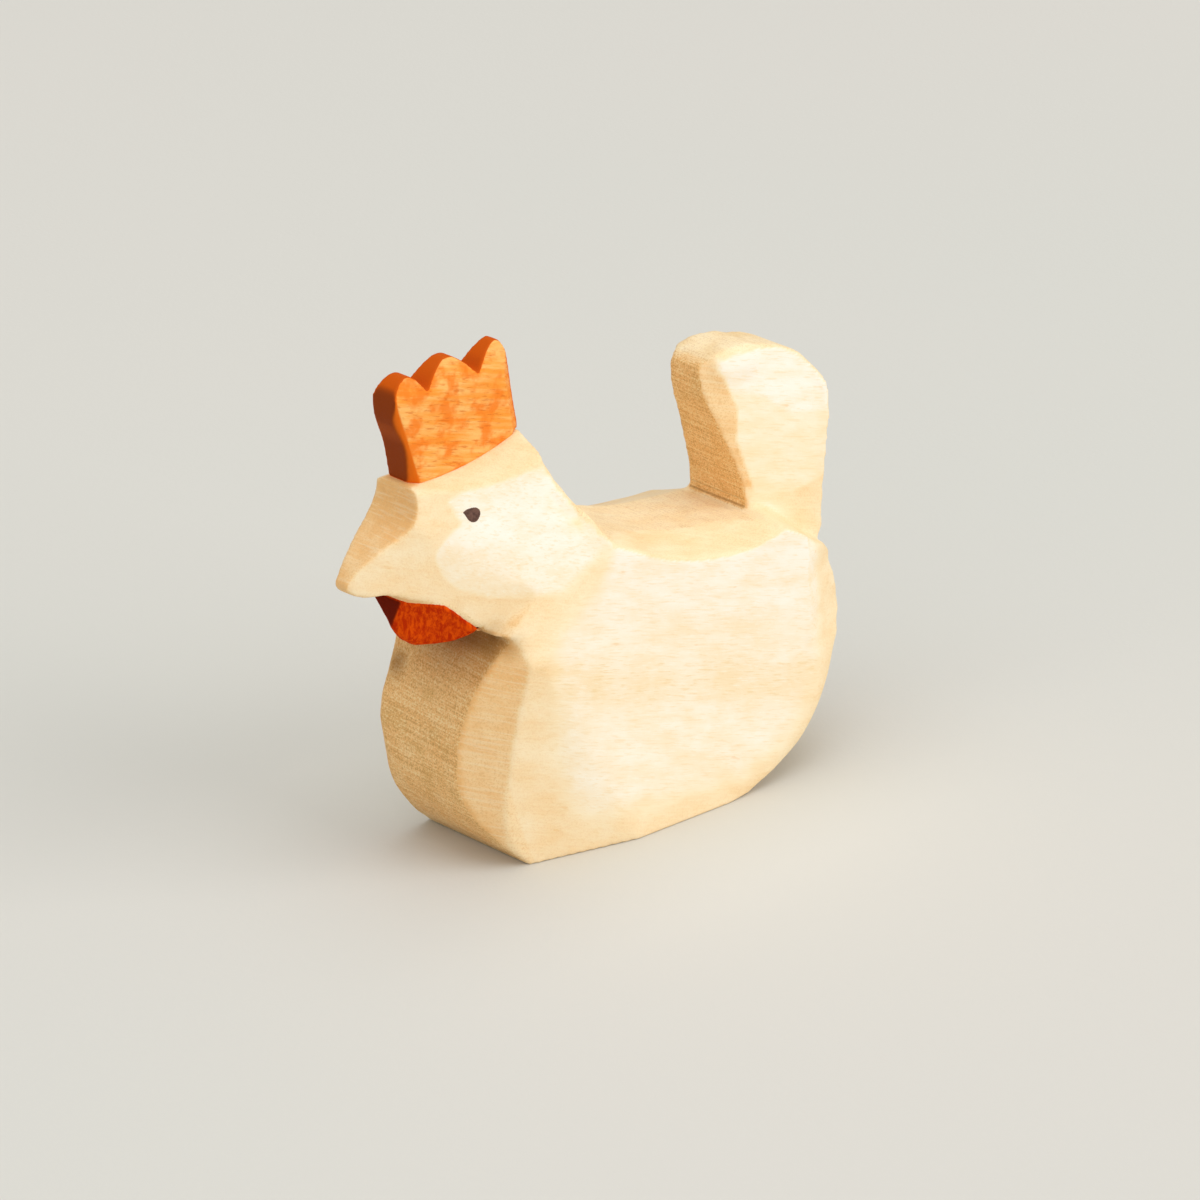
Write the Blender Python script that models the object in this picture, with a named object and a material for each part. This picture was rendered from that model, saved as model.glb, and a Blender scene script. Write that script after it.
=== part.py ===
"""A small hen carved from one block of pale wood, sitting on its flat belly.

The blank is sawn to the hen's side view out of a board. Knife cuts then taper the head, thin the tail
and bevel the breast and the back. The comb and the wattle are parts of the same block that were stained
orange-red, and each eye is a burnt dot. The hen looks toward -X, and +Z is up.
"""

import math

import bmesh
import bpy
from mathutils import Matrix, Vector

MM = 0.001

# The block
LENGTH = 73.8 * MM  # beak tip to the upper corner of the tail
THICKNESS = 22.6 * MM  # the board that the hen is sawn from
SEAM = 0.3 * MM  # clearance between two finishes, which touch on the real block

# Belly, breast and rump
BASE_FRONT = 21.75 * MM  # front edge of the flat underside, behind the beak tip
BASE_LENGTH = 33.1 * MM
BREAST_OVERHANG = 8.4 * MM  # how far the breast swells ahead of the underside
BREAST_HEIGHT = 14.5 * MM  # height of its foremost point
THROAT_DEPTH = 4.6 * MM  # the throat notch, behind that point
THROAT_HEIGHT = 30.4 * MM
RUMP_INSET = 1.1 * MM  # the rump's rearmost point, ahead of the tail's upper corner
RUMP_HEIGHT = 18.0 * MM
RUMP_TOP_HEIGHT = 26.6 * MM  # the crease between rump and tail

# Head
BEAK_LENGTH = 8.45 * MM  # tip to brow
BEAK_HEIGHT = 38.9 * MM
BEAK_BLUNT = 1.2 * MM  # radius of the beak's tip in side view
CHIN_HEIGHT = 36.6 * MM
BROW_HEIGHT = 46.8 * MM
BROW_HALF = 3.85 * MM  # half the width of the brow
BEAK_ROOT_HALF = 4.3 * MM  # the beak's own half width, level with the brow
CROWN_HEIGHT = 49.5 * MM  # the comb's seat, at its front
CROWN_LENGTH = 17.5 * MM
CROWN_RISE = 2.7 * MM  # the seat climbs this much toward the nape
NAPE_RUN = 6.1 * MM  # how far the nape slopes back to the foot of the neck

# Back and tail
NECK_FOOT_HEIGHT = 39.0 * MM
BACK_HEIGHT = 33.5 * MM  # at the foot of the tail
TAIL_HEIGHT = 53.4 * MM
TAIL_FOOT = 14.35 * MM  # front of the tail's foot, ahead of the upper rear corner
TAIL_LEAN = 5.9 * MM  # the front leans this far toward the head
TAIL_CORNER_HEIGHT = 44.0 * MM  # upper rear corner
TAIL_FOOT_HALF = 5.4 * MM  # also half the width of the flat that the saw left on the back
TAIL_TOP_HALF = 3.3 * MM
TAIL_EDGE_FOOT = 0.4 * MM  # taken off each side at the tail's front edge, at its foot
TAIL_EDGE_TOP = 0.9 * MM
TAIL_EDGE_SLOPE = math.radians(17.0)

# Comb and wattle
COMB_HEIGHT = 13.7 * MM  # highest point, above the front of the seat
COMB_SET_BACK = 0.9 * MM  # a small ledge of bare wood between the brow and the comb
COMB_PRONG = 3.0 * MM  # how deep the notches between the prongs go
COMB_FOOT_HALF = 2.35 * MM
COMB_NOTCH_HALF = 2.1 * MM  # half thickness just under the notches
COMB_TIP_HALF = 0.9 * MM  # the prongs are pared thin
COMB_LEAN = 2.3 * MM  # the front edge leans forward this much
COMB_EDGE_CUT_NEAR = 1.4 * MM  # pared off its front corner at the foot, running out to nothing at the top
COMB_EDGE_CUT_FAR = 0.4 * MM
COMB_REAR_CUT = 0.5 * MM
COMB_EDGE_LENGTH = 1.1 * MM
WATTLE_LENGTH = 9.1 * MM
WATTLE_DROP = 1.0 * MM  # how far it hangs below the throat notch
WATTLE_FRONT_NEAR = 3.0 * MM  # the -Y half of its front face, at the chin
WATTLE_FRONT_FAR = 3.4 * MM
WATTLE_TAPER = math.radians(39.0)
WATTLE_UNDERCUT_NEAR = math.radians(29.0)  # both sides also turn under, the +Y side more
WATTLE_UNDERCUT_FAR = math.radians(44.0)
WATTLE_LEAN = 1.0 * MM  # its front edge falls back toward the throat

# Knife work: how far each face turns in, and how much sawn surface it leaves
BELLY_TAPER_NEAR = math.radians(13.5)  # the lower front corner, turned in toward the breast
BELLY_LEAN_NEAR = math.radians(7.7)
BELLY_TAPER_FAR = math.radians(5.0)  # the knife took less from the +Y side
BELLY_LEAN_FAR = math.radians(1.0)
BELLY_TAPER_START = 36.0 * MM  # behind the beak tip, on the underside
RUMP_TAPER = math.radians(26.0)
RUMP_TAPER_START = 9.95 * MM  # ahead of the tail's upper corner
CHEEK_TAPER = math.radians(12.7)
CHEEK_LEAN = math.radians(-12.8)
BEAK_TAPER = math.radians(21.3)
NECK_SLOPE = math.radians(28.0)  # under the cheek, where the neck widens into the body
NECK_HALF = 7.0 * MM
CROWN_SLOPE = math.radians(26.0)
BACK_SLOPE = math.radians(18.5)
SHOULDER_SLOPE_NEAR = math.radians(11.0)
SHOULDER_SLOPE_FAR = math.radians(19.0)
BREAST_SLOPE = math.radians(48.0)
BREAST_FLAT_NEAR = 4.6 * MM  # the -Y half of the sawn strip left on the breast
BREAST_FLAT_FAR = 8.6 * MM  # the +Y half, which the knife cut less

# Eyes
EYE_RADIUS = 0.85 * MM
EYE_DEPTH = 0.5 * MM
EYE_BEHIND_BROW = 6.9 * MM
EYE_BELOW_BROW = 1.5 * MM

# Stations along the hen, and the blank's half thickness
TIP = -LENGTH / 2
STERN = LENGTH / 2
HALF = THICKNESS / 2
REACH = LENGTH + THICKNESS
BASE_FRONT_X = TIP + BASE_FRONT
BASE_REAR_X = BASE_FRONT_X + BASE_LENGTH
BREAST_X = BASE_FRONT_X - BREAST_OVERHANG
CHIN_RISE = CHIN_HEIGHT - THROAT_HEIGHT
THROAT_X = BREAST_X + THROAT_DEPTH
BROW_X = TIP + BEAK_LENGTH
NAPE_X = BROW_X + CROWN_LENGTH
NECK_FOOT_X = NAPE_X + NAPE_RUN
TAIL_FOOT_X = STERN - TAIL_FOOT
TAIL_TOP_X = TAIL_FOOT_X - TAIL_LEAN
RUMP_X = STERN - RUMP_INSET

SOFT, CORNER = "AUTO", "VECTOR"
SIDES = {"near": -1, "far": 1}
CURVE_STEPS = 7


def clear_scene():
    for obj in list(bpy.data.objects):
        bpy.data.objects.remove(obj, do_unlink=True)


def collection(name):
    made = bpy.data.collections.new(name)
    bpy.context.scene.collection.children.link(made)
    return made


def finish(name, colour, roughness):
    made = bpy.data.materials.new(name)
    made.use_nodes = True
    shader = made.node_tree.nodes["Principled BSDF"]
    shader.inputs["Base Color"].default_value = (*colour, 1.0)
    shader.inputs["Roughness"].default_value = roughness
    shader.inputs["Metallic"].default_value = 0.0
    return made


def sawn(name, outline, half_depth, group):
    """A closed side-view outline of (x, z, kind) points, sawn out of a board centred on y = 0."""
    curve = bpy.data.curves.new(name, "CURVE")
    curve.dimensions = "2D"
    curve.fill_mode = "BOTH"
    curve.extrude = half_depth
    curve.resolution_u = CURVE_STEPS
    spline = curve.splines.new("BEZIER")
    spline.bezier_points.add(len(outline) - 1)
    for point, (x, z, kind) in zip(spline.bezier_points, outline):
        point.co = (x, z, 0.0)
        point.handle_left_type = kind
        point.handle_right_type = kind
    spline.use_cyclic_u = True
    guide = bpy.data.objects.new(name + "_outline", curve)
    guide.rotation_euler.x = math.pi / 2
    group.objects.link(guide)
    bpy.context.view_layer.update()
    evaluated = guide.evaluated_get(bpy.context.evaluated_depsgraph_get())
    mesh = bpy.data.meshes.new_from_object(evaluated)
    weld(mesh)
    made = bpy.data.objects.new(name, mesh)
    made.matrix_world = guide.matrix_world
    group.objects.link(made)
    bpy.data.objects.remove(guide, do_unlink=True)
    bpy.data.curves.remove(curve)
    return made


def weld(mesh):
    shape = bmesh.new()
    shape.from_mesh(mesh)
    bmesh.ops.remove_doubles(shape, verts=shape.verts, dist=0.001 * MM)
    bmesh.ops.recalc_face_normals(shape, faces=shape.faces)
    shape.to_mesh(mesh)
    shape.free()


def knife(name, side, outline, wall=(0.0, 0.0, 0.0, 0.0, 0.0), fall=(0.0, 0.0, 0.0)):
    """The wood that one stroke takes from one side of the hen: everything outward of a wall, within an
    outline. wall is (x, z, half width there, gain per x, gain per z). fall is (pivot, back, down): from the
    pivot half width outward, the outline slides back and down by these shares."""
    cut = sawn(f"{name}_{side}", outline, HALF, cutters)
    cut.hide_render = True
    cut.display_type = "WIRE"
    sign = SIDES[side]
    x0, z0, half, per_x, per_z = wall
    pivot, back, down = fall
    outward = Matrix.Translation((0.0, sign * HALF, 0.0))
    slide = Matrix.Identity(4)
    slide[0][1], slide[0][3] = sign * back, back * (half - pivot)
    slide[2][1], slide[2][3] = -sign * down, -down * (half - pivot)
    lean = Matrix.Identity(4)
    lean[1][0], lean[1][2] = sign * per_x, sign * per_z
    lean[1][3] = sign * (half - per_x * x0 - per_z * z0)
    cut.data.transform(lean @ slide @ outward @ cut.matrix_world)
    cut.matrix_world = Matrix.Identity(4)
    weld(cut.data)
    return cut


def carve(blank, cuts):
    for cut in cuts:
        modifier = blank.modifiers.new(cut.name, "BOOLEAN")
        modifier.operation = "DIFFERENCE"
        modifier.solver = "EXACT"
        modifier.object = cut
    return blank


def box_outline(x_from, x_to, z_from, z_to):
    return [
        (x_from, z_from, CORNER),
        (x_to, z_from, CORNER),
        (x_to, z_to, CORNER),
        (x_from, z_to, CORNER),
    ]


def crown_line(lift=0.0):
    """Where the comb leaves the head, front to nape: a shallow hollow curve."""
    return [
        (BROW_X + COMB_SET_BACK, CROWN_HEIGHT + lift, CORNER),
        (BROW_X + 0.40 * CROWN_LENGTH, CROWN_HEIGHT + 0.08 * CROWN_RISE + lift, SOFT),
        (BROW_X + 0.75 * CROWN_LENGTH, CROWN_HEIGHT + 0.48 * CROWN_RISE + lift, SOFT),
        (NAPE_X, CROWN_HEIGHT + CROWN_RISE + lift, CORNER),
    ]


def wattle_line(shift=0.0):
    """Where the wattle leaves the chin, rear to front: an arch over the lobe, from the throat's height."""
    front = BROW_X - 0.13 * WATTLE_LENGTH
    rear = front + WATTLE_LENGTH
    line = [
        (rear, THROAT_HEIGHT, CORNER),
        (rear - 0.20 * WATTLE_LENGTH, THROAT_HEIGHT + 0.38 * CHIN_RISE, SOFT),
        (rear - 0.54 * WATTLE_LENGTH, THROAT_HEIGHT + 0.77 * CHIN_RISE, SOFT),
        (front, THROAT_HEIGHT + 0.94 * CHIN_RISE, CORNER),
    ]
    return [(x - shift, z - shift, kind) for x, z, kind in line]


def breast_line():
    """The sawn front of the body, from the underside up to the throat."""
    return [
        (BASE_FRONT_X, 0.0, CORNER),
        (BASE_FRONT_X - 0.50 * BREAST_OVERHANG, 0.28 * BREAST_HEIGHT, SOFT),
        (BREAST_X + 0.10 * BREAST_OVERHANG, 0.64 * BREAST_HEIGHT, SOFT),
        (BREAST_X, BREAST_HEIGHT, SOFT),
        (BREAST_X + 0.13 * THROAT_DEPTH, BREAST_HEIGHT + 0.39 * (THROAT_HEIGHT - BREAST_HEIGHT), SOFT),
        (BREAST_X + 0.50 * THROAT_DEPTH, BREAST_HEIGHT + 0.74 * (THROAT_HEIGHT - BREAST_HEIGHT), SOFT),
        (THROAT_X, THROAT_HEIGHT, CORNER),
    ]


def back_line():
    """The sawn saddle between neck and tail, front to rear."""
    run = TAIL_FOOT_X - NECK_FOOT_X
    drop = NECK_FOOT_HEIGHT - BACK_HEIGHT
    return [
        (NECK_FOOT_X, NECK_FOOT_HEIGHT, SOFT),
        (NECK_FOOT_X + 0.12 * run, BACK_HEIGHT + 0.83 * drop, SOFT),
        (NECK_FOOT_X + 0.33 * run, BACK_HEIGHT + 0.50 * drop, CORNER),
        (NECK_FOOT_X + 0.56 * run, BACK_HEIGHT + 0.20 * drop, SOFT),
        (NECK_FOOT_X + 0.80 * run, BACK_HEIGHT + 0.07 * drop, CORNER),
        (TAIL_FOOT_X, BACK_HEIGHT, CORNER),
    ]


def tail_outline():
    """The fan of the tail above the body, from the foot of its front round to the crease over the rump."""
    rise = TAIL_HEIGHT - BACK_HEIGHT
    crest = TAIL_HEIGHT - TAIL_CORNER_HEIGHT
    return [
        (TAIL_FOOT_X - 0.07 * TAIL_LEAN, BACK_HEIGHT + 0.16 * rise, SOFT),
        (TAIL_FOOT_X - 0.45 * TAIL_LEAN, BACK_HEIGHT + 0.47 * rise, SOFT),
        (TAIL_TOP_X + 0.05 * TAIL_LEAN, BACK_HEIGHT + 0.87 * rise, SOFT),
        (TAIL_TOP_X + 0.08 * TAIL_LEAN, BACK_HEIGHT + 0.95 * rise, SOFT),
        (TAIL_TOP_X + 0.5 * TAIL_LEAN, TAIL_HEIGHT - 0.02 * crest, SOFT),
        (TAIL_TOP_X + 1.0 * TAIL_LEAN, TAIL_HEIGHT, SOFT),
        (STERN - 0.42 * TAIL_FOOT, TAIL_HEIGHT - 0.18 * crest, SOFT),
        (STERN - 0.17 * TAIL_FOOT, TAIL_HEIGHT - 0.48 * crest, SOFT),
        (STERN, TAIL_CORNER_HEIGHT, SOFT),
        (STERN - 0.07 * TAIL_FOOT, TAIL_CORNER_HEIGHT - 0.60 * crest, SOFT),
        (STERN - 0.16 * TAIL_FOOT, RUMP_TOP_HEIGHT + 0.17 * (TAIL_CORNER_HEIGHT - RUMP_TOP_HEIGHT), SOFT),
    ]


def rump_line():
    """The rounded stern, from the crease under the tail down to the rear of the flat underside."""
    run = RUMP_X - BASE_REAR_X
    return [
        (RUMP_X - 0.14 * run, RUMP_TOP_HEIGHT, SOFT),
        (RUMP_X - 0.04 * run, RUMP_HEIGHT + 0.50 * (RUMP_TOP_HEIGHT - RUMP_HEIGHT), SOFT),
        (RUMP_X, RUMP_HEIGHT, SOFT),
        (RUMP_X - 0.06 * run, 0.70 * RUMP_HEIGHT, SOFT),
        (RUMP_X - 0.29 * run, 0.44 * RUMP_HEIGHT, SOFT),
        (RUMP_X - 0.56 * run, 0.20 * RUMP_HEIGHT, SOFT),
        (BASE_REAR_X, 0.0, CORNER),
    ]


def head_front():
    """The chin, the beak and the forehead, from the wattle's front up to the crown."""
    return [
        (TIP + 0.62 * BEAK_LENGTH, CHIN_HEIGHT + 0.2 * (BEAK_HEIGHT - CHIN_HEIGHT), SOFT),
        (TIP + BEAK_BLUNT, BEAK_HEIGHT - BEAK_BLUNT, SOFT),
        (TIP, BEAK_HEIGHT, SOFT),
        (TIP + 0.5 * BEAK_BLUNT, BEAK_HEIGHT + BEAK_BLUNT, SOFT),
        (TIP + 0.46 * BEAK_LENGTH, BEAK_HEIGHT + 0.50 * (BROW_HEIGHT - BEAK_HEIGHT), SOFT),
        (BROW_X - 0.08 * BEAK_LENGTH, BROW_HEIGHT - 0.15 * (BROW_HEIGHT - BEAK_HEIGHT), SOFT),
        (BROW_X, BROW_HEIGHT + 0.15 * (CROWN_HEIGHT - BROW_HEIGHT), SOFT),
        (BROW_X, CROWN_HEIGHT, CORNER),
    ]


def nape_line():
    """The back of the neck, from the nape down to the foot of the neck."""
    fall = CROWN_HEIGHT + CROWN_RISE - NECK_FOOT_HEIGHT
    return [
        (NAPE_X - 0.02 * NAPE_RUN, NECK_FOOT_HEIGHT + 0.80 * fall, SOFT),
        (NAPE_X + 0.22 * NAPE_RUN, NECK_FOOT_HEIGHT + 0.47 * fall, SOFT),
        (NAPE_X + 0.66 * NAPE_RUN, NECK_FOOT_HEIGHT + 0.19 * fall, SOFT),
    ]


def body_outline():
    return (
        breast_line()
        + wattle_line()
        + head_front()
        + crown_line()
        + nape_line()
        + back_line()
        + tail_outline()
        + rump_line()
    )


def brow_wall(half, taper, lean):
    """A face of the head that springs from the brow."""
    return (BROW_X, BROW_HEIGHT, half, math.tan(taper), math.tan(lean))


def body_cuts(side):
    everywhere = box_outline(-REACH, REACH, -REACH, REACH)
    top = TAIL_HEIGHT + THICKNESS
    wide_head = [
        (TIP - THICKNESS, CHIN_HEIGHT - 1.28 * CHIN_RISE, CORNER),
        (BREAST_X + 0.4 * THROAT_DEPTH, THROAT_HEIGHT - 0.24 * CHIN_RISE, CORNER),
        (THROAT_X, THROAT_HEIGHT, CORNER),
        (NECK_FOOT_X, NECK_FOOT_HEIGHT + 0.2 * CHIN_RISE, CORNER),
        (NECK_FOOT_X, top, CORNER),
        (TIP - THICKNESS, top, CORNER),
    ]
    beside_comb = crown_line() + [
        (NAPE_X + NAPE_RUN, CROWN_HEIGHT + 2.0 * CROWN_RISE, CORNER),
        (NAPE_X + NAPE_RUN, top, CORNER),
        (TIP - THICKNESS, top, CORNER),
        (TIP - THICKNESS, CROWN_HEIGHT, CORNER),
    ]
    drop = NECK_FOOT_HEIGHT - BACK_HEIGHT
    end_rise = 0.22 * drop if side == "near" else 0.0
    foot_rise = 0.10 * drop if side == "near" else -0.08 * drop
    over_back = [(NECK_FOOT_X, NECK_FOOT_HEIGHT + 0.25 * drop, CORNER), *back_line()[2:-1]] + [
        (TAIL_FOOT_X, BACK_HEIGHT + end_rise, CORNER),
        (TAIL_FOOT_X + 0.1 * TAIL_FOOT, BACK_HEIGHT + 0.25 * drop + end_rise, CORNER),
        (TAIL_FOOT_X + 0.1 * TAIL_FOOT, top, CORNER),
        (NECK_FOOT_X, top, CORNER),
    ]
    beside_tail = [
        (TAIL_FOOT_X - 0.5 * TAIL_LEAN, BACK_HEIGHT + 0.2 * drop, CORNER),
        (TAIL_FOOT_X + 0.06 * TAIL_FOOT, BACK_HEIGHT + foot_rise, SOFT),
        (RUMP_X - 0.1 * (RUMP_X - TAIL_FOOT_X), RUMP_TOP_HEIGHT - 0.10 * (BACK_HEIGHT - RUMP_TOP_HEIGHT), CORNER),
        (STERN + THICKNESS, RUMP_TOP_HEIGHT - HALF, CORNER),
        (STERN + THICKNESS, top, CORNER),
        (TAIL_TOP_X - TAIL_LEAN, top, CORNER),
        (TAIL_TOP_X - TAIL_LEAN, BACK_HEIGHT + drop, CORNER),
    ]
    tail_front_edge = [
        (TAIL_FOOT_X - 0.2 * TAIL_LEAN, BACK_HEIGHT + SEAM, CORNER),
        (STERN, BACK_HEIGHT + SEAM, CORNER),
        (STERN, top, CORNER),
        (TAIL_TOP_X - TAIL_LEAN, top, CORNER),
        (TAIL_TOP_X - TAIL_LEAN, NECK_FOOT_HEIGHT, CORNER),
    ]
    ahead_of_breast = [
        (BASE_FRONT_X - 0.35 * BREAST_OVERHANG, -HALF, CORNER),
        (BASE_FRONT_X - 0.50 * BREAST_OVERHANG, 0.0, SOFT),
        (BREAST_X + 0.22 * BREAST_OVERHANG, 0.31 * BREAST_HEIGHT, SOFT),
        (BREAST_X, BREAST_HEIGHT, SOFT),
        (BREAST_X - 0.1 * BREAST_OVERHANG, THROAT_HEIGHT - 0.58 * CHIN_RISE, SOFT),
        (BREAST_X - 0.1 * BREAST_OVERHANG, THROAT_HEIGHT, CORNER),
        (TIP - THICKNESS, THROAT_HEIGHT, CORNER),
        (TIP - THICKNESS, -HALF, CORNER),
    ]
    rise = TAIL_HEIGHT - BACK_HEIGHT
    tail_thinning = (TAIL_TOP_HALF - TAIL_FOOT_HALF) / rise
    edge_gain = math.tan(TAIL_EDGE_SLOPE)
    edge_half = TAIL_FOOT_HALF - TAIL_EDGE_FOOT
    edge_thinning = tail_thinning + (edge_gain * TAIL_LEAN - TAIL_EDGE_TOP + TAIL_EDGE_FOOT) / rise
    belly_taper = BELLY_TAPER_NEAR if side == "near" else BELLY_TAPER_FAR
    belly_lean = BELLY_LEAN_NEAR if side == "near" else BELLY_LEAN_FAR
    belly_wall = (TIP + BELLY_TAPER_START, 0.0, HALF, math.tan(belly_taper), math.tan(belly_lean))
    breast_flat = BREAST_FLAT_NEAR if side == "near" else BREAST_FLAT_FAR
    flat_edge = (0.0, 0.0, TAIL_FOOT_HALF, 0.0, 0.0)
    cheek_wall = brow_wall(BROW_HALF, CHEEK_TAPER, CHEEK_LEAN)
    beak_wall = brow_wall(BEAK_ROOT_HALF, BEAK_TAPER, 0.0)
    shoulder_slope = SHOULDER_SLOPE_NEAR if side == "near" else SHOULDER_SLOPE_FAR
    return [
        knife("belly", side, everywhere, belly_wall),
        knife("rump_taper", side, everywhere, (STERN - RUMP_TAPER_START, 0.0, HALF, -math.tan(RUMP_TAPER), 0.0)),
        knife("cheek", side, everywhere, cheek_wall),
        knife("beak_side", side, wide_head, beak_wall, (NECK_HALF, 0.0, math.tan(NECK_SLOPE))),
        knife("crown", side, beside_comb, fall=(COMB_FOOT_HALF, 0.0, math.tan(CROWN_SLOPE))),
        knife("back", side, over_back, flat_edge, (TAIL_FOOT_HALF, 0.0, math.tan(BACK_SLOPE))),
        knife("breast", side, ahead_of_breast, fall=(breast_flat, math.tan(BREAST_SLOPE), 0.0)),
        knife(
            "tail_side",
            side,
            beside_tail,
            (TAIL_FOOT_X, BACK_HEIGHT, TAIL_FOOT_HALF, 0.0, tail_thinning),
            (TAIL_FOOT_HALF, 0.0, math.tan(shoulder_slope)),
        ),
        knife(
            "tail_edge",
            side,
            tail_front_edge,
            (TAIL_FOOT_X, BACK_HEIGHT, edge_half, edge_gain, edge_thinning),
        ),
    ]


def comb_outline():
    """Three prongs over the crown: a rounded one in front, a middle one, and the tallest at the rear."""
    seat = crown_line(SEAM)
    foot_x = seat[0][0]
    front = foot_x - COMB_LEAN
    top = CROWN_HEIGHT + COMB_HEIGHT
    notch = top - COMB_PRONG
    length = CROWN_LENGTH
    return seat + [
        (NAPE_X - 0.03 * length, notch - 0.50 * (COMB_HEIGHT - COMB_PRONG), SOFT),
        (NAPE_X - 0.08 * length, notch + 0.15 * COMB_PRONG, SOFT),
        (NAPE_X - 0.105 * length, notch + 0.75 * COMB_PRONG, SOFT),
        (NAPE_X - 0.15 * length, top, SOFT),
        (NAPE_X - 0.225 * length, notch + 0.82 * COMB_PRONG, SOFT),
        (NAPE_X - 0.355 * length, notch, CORNER),
        (NAPE_X - 0.49 * length, notch + 0.72 * COMB_PRONG, SOFT),
        (NAPE_X - 0.58 * length, notch + 0.93 * COMB_PRONG, SOFT),
        (NAPE_X - 0.66 * length, notch + 0.76 * COMB_PRONG, SOFT),
        (NAPE_X - 0.80 * length, notch - 0.05 * COMB_PRONG, CORNER),
        (NAPE_X - 0.91 * length, notch + 0.62 * COMB_PRONG, SOFT),
        (NAPE_X - 0.99 * length, notch + 0.60 * COMB_PRONG, SOFT),
        (front, notch - 0.10 * COMB_PRONG, SOFT),
        (foot_x - 0.33 * COMB_LEAN, CROWN_HEIGHT + 0.33 * COMB_HEIGHT, SOFT),
    ]


def comb_cuts(side):
    everywhere = box_outline(-REACH, REACH, -REACH, REACH)
    paring = 1.15 * COMB_PRONG
    flat_rise = COMB_HEIGHT - paring
    thinning = (COMB_NOTCH_HALF - COMB_FOOT_HALF) / flat_rise
    tip_thinning = (COMB_TIP_HALF - COMB_NOTCH_HALF) / paring
    front_cut = COMB_EDGE_CUT_NEAR if side == "near" else COMB_EDGE_CUT_FAR
    gain = front_cut / COMB_EDGE_LENGTH
    front_half = COMB_FOOT_HALF - front_cut
    front_thinning = thinning + (0.85 * front_cut + gain * COMB_LEAN) / flat_rise
    front_x = BROW_X + COMB_SET_BACK
    rear_gain = COMB_REAR_CUT / COMB_EDGE_LENGTH
    rear_half = COMB_FOOT_HALF - COMB_REAR_CUT
    rear_thinning = thinning - rear_gain * 0.09 * CROWN_LENGTH / flat_rise
    return [
        knife("comb_side", side, everywhere, (0.0, CROWN_HEIGHT, COMB_FOOT_HALF, 0.0, thinning)),
        knife("comb_tips", side, everywhere, (0.0, CROWN_HEIGHT + flat_rise, COMB_NOTCH_HALF, 0.0, tip_thinning)),
        knife("comb_front", side, everywhere, (front_x, CROWN_HEIGHT, front_half, gain, front_thinning)),
        knife("comb_rear", side, everywhere, (NAPE_X, CROWN_HEIGHT, rear_half, -rear_gain, rear_thinning)),
    ]


def wattle_outline():
    line = wattle_line(SEAM)
    rear_x = line[0][0]
    front_x = line[-1][0]
    bottom = THROAT_HEIGHT - WATTLE_DROP
    return line + [
        (front_x + 0.10 * WATTLE_LEAN, bottom + 0.70 * CHIN_RISE, SOFT),
        (front_x + 0.45 * WATTLE_LEAN, bottom + 0.33 * CHIN_RISE, SOFT),
        (front_x + 1.4 * WATTLE_LEAN, bottom + 0.06 * CHIN_RISE, SOFT),
        (front_x + 3.0 * WATTLE_LEAN, bottom, SOFT),
        (rear_x - 0.25 * WATTLE_LENGTH, bottom + 0.03 * CHIN_RISE, SOFT),
    ]


def wattle_cuts(side):
    everywhere = box_outline(-REACH, REACH, -REACH, REACH)
    front_x = wattle_line(SEAM)[-1][0]
    front_half = WATTLE_FRONT_NEAR if side == "near" else WATTLE_FRONT_FAR
    undercut = WATTLE_UNDERCUT_NEAR if side == "near" else WATTLE_UNDERCUT_FAR
    front_wall = (front_x, CHIN_HEIGHT, front_half, math.tan(WATTLE_TAPER), math.tan(undercut))
    return [
        knife("wattle_cheek", side, everywhere, brow_wall(BROW_HALF, CHEEK_TAPER, CHEEK_LEAN)),
        knife("wattle_side", side, everywhere, brow_wall(BEAK_ROOT_HALF, BEAK_TAPER, 0.0)),
        knife("wattle_front", side, everywhere, front_wall),
    ]


def eye_drop(name, radius, depth, group):
    """A dot with a flattish top and a short point toward the beak, half its depth to each side of y = 0."""
    ring = [(-0.1, -1.1), (0.95, -0.35), (0.9, 0.55), (-0.6, 0.9)]
    outline = [(radius * x, radius * z, SOFT) for x, z in ring]
    point = (-1.6 * radius, 0.55 * radius, CORNER)
    return sawn(name, [*outline, point], depth / 2, group)


def on_cheek(side):
    """The frame of one eye: x runs toward the nape, y is the cheek's outward normal and z runs up the cheek."""
    sign = SIDES[side]
    x = BROW_X + EYE_BEHIND_BROW
    z = BROW_HEIGHT - EYE_BELOW_BROW
    half = BROW_HALF + math.tan(CHEEK_TAPER) * EYE_BEHIND_BROW - math.tan(CHEEK_LEAN) * EYE_BELOW_BROW
    outward = Vector((-math.tan(CHEEK_TAPER), sign, -math.tan(CHEEK_LEAN))).normalized()
    along = Vector((1.0, sign * math.tan(CHEEK_TAPER), 0.0)).normalized()
    turn = Matrix((along, outward, sign * along.cross(outward))).transposed().to_4x4()
    return Matrix.Translation((x, sign * half, z)) @ turn


def place(obj, matrix, inward):
    obj.data.transform(matrix @ Matrix.Translation((0.0, -inward, 0.0)) @ obj.matrix_world)
    obj.matrix_world = Matrix.Identity(4)
    weld(obj.data)
    return obj


def eye_pocket(side):
    pocket_depth = EYE_DEPTH + SEAM
    pocket = eye_drop(f"eye_pocket_{side}", EYE_RADIUS + SEAM, 2 * pocket_depth, cutters)
    pocket.hide_render = True
    pocket.display_type = "WIRE"
    return place(pocket, on_cheek(side), 0.0)


def eye(name, side):
    dot = eye_drop(name, EYE_RADIUS, EYE_DEPTH, hen)
    return place(dot, on_cheek(side), EYE_DEPTH / 2)


clear_scene()
hen = collection("sitting_hen")
cutters = collection("knife_cuts")

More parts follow.
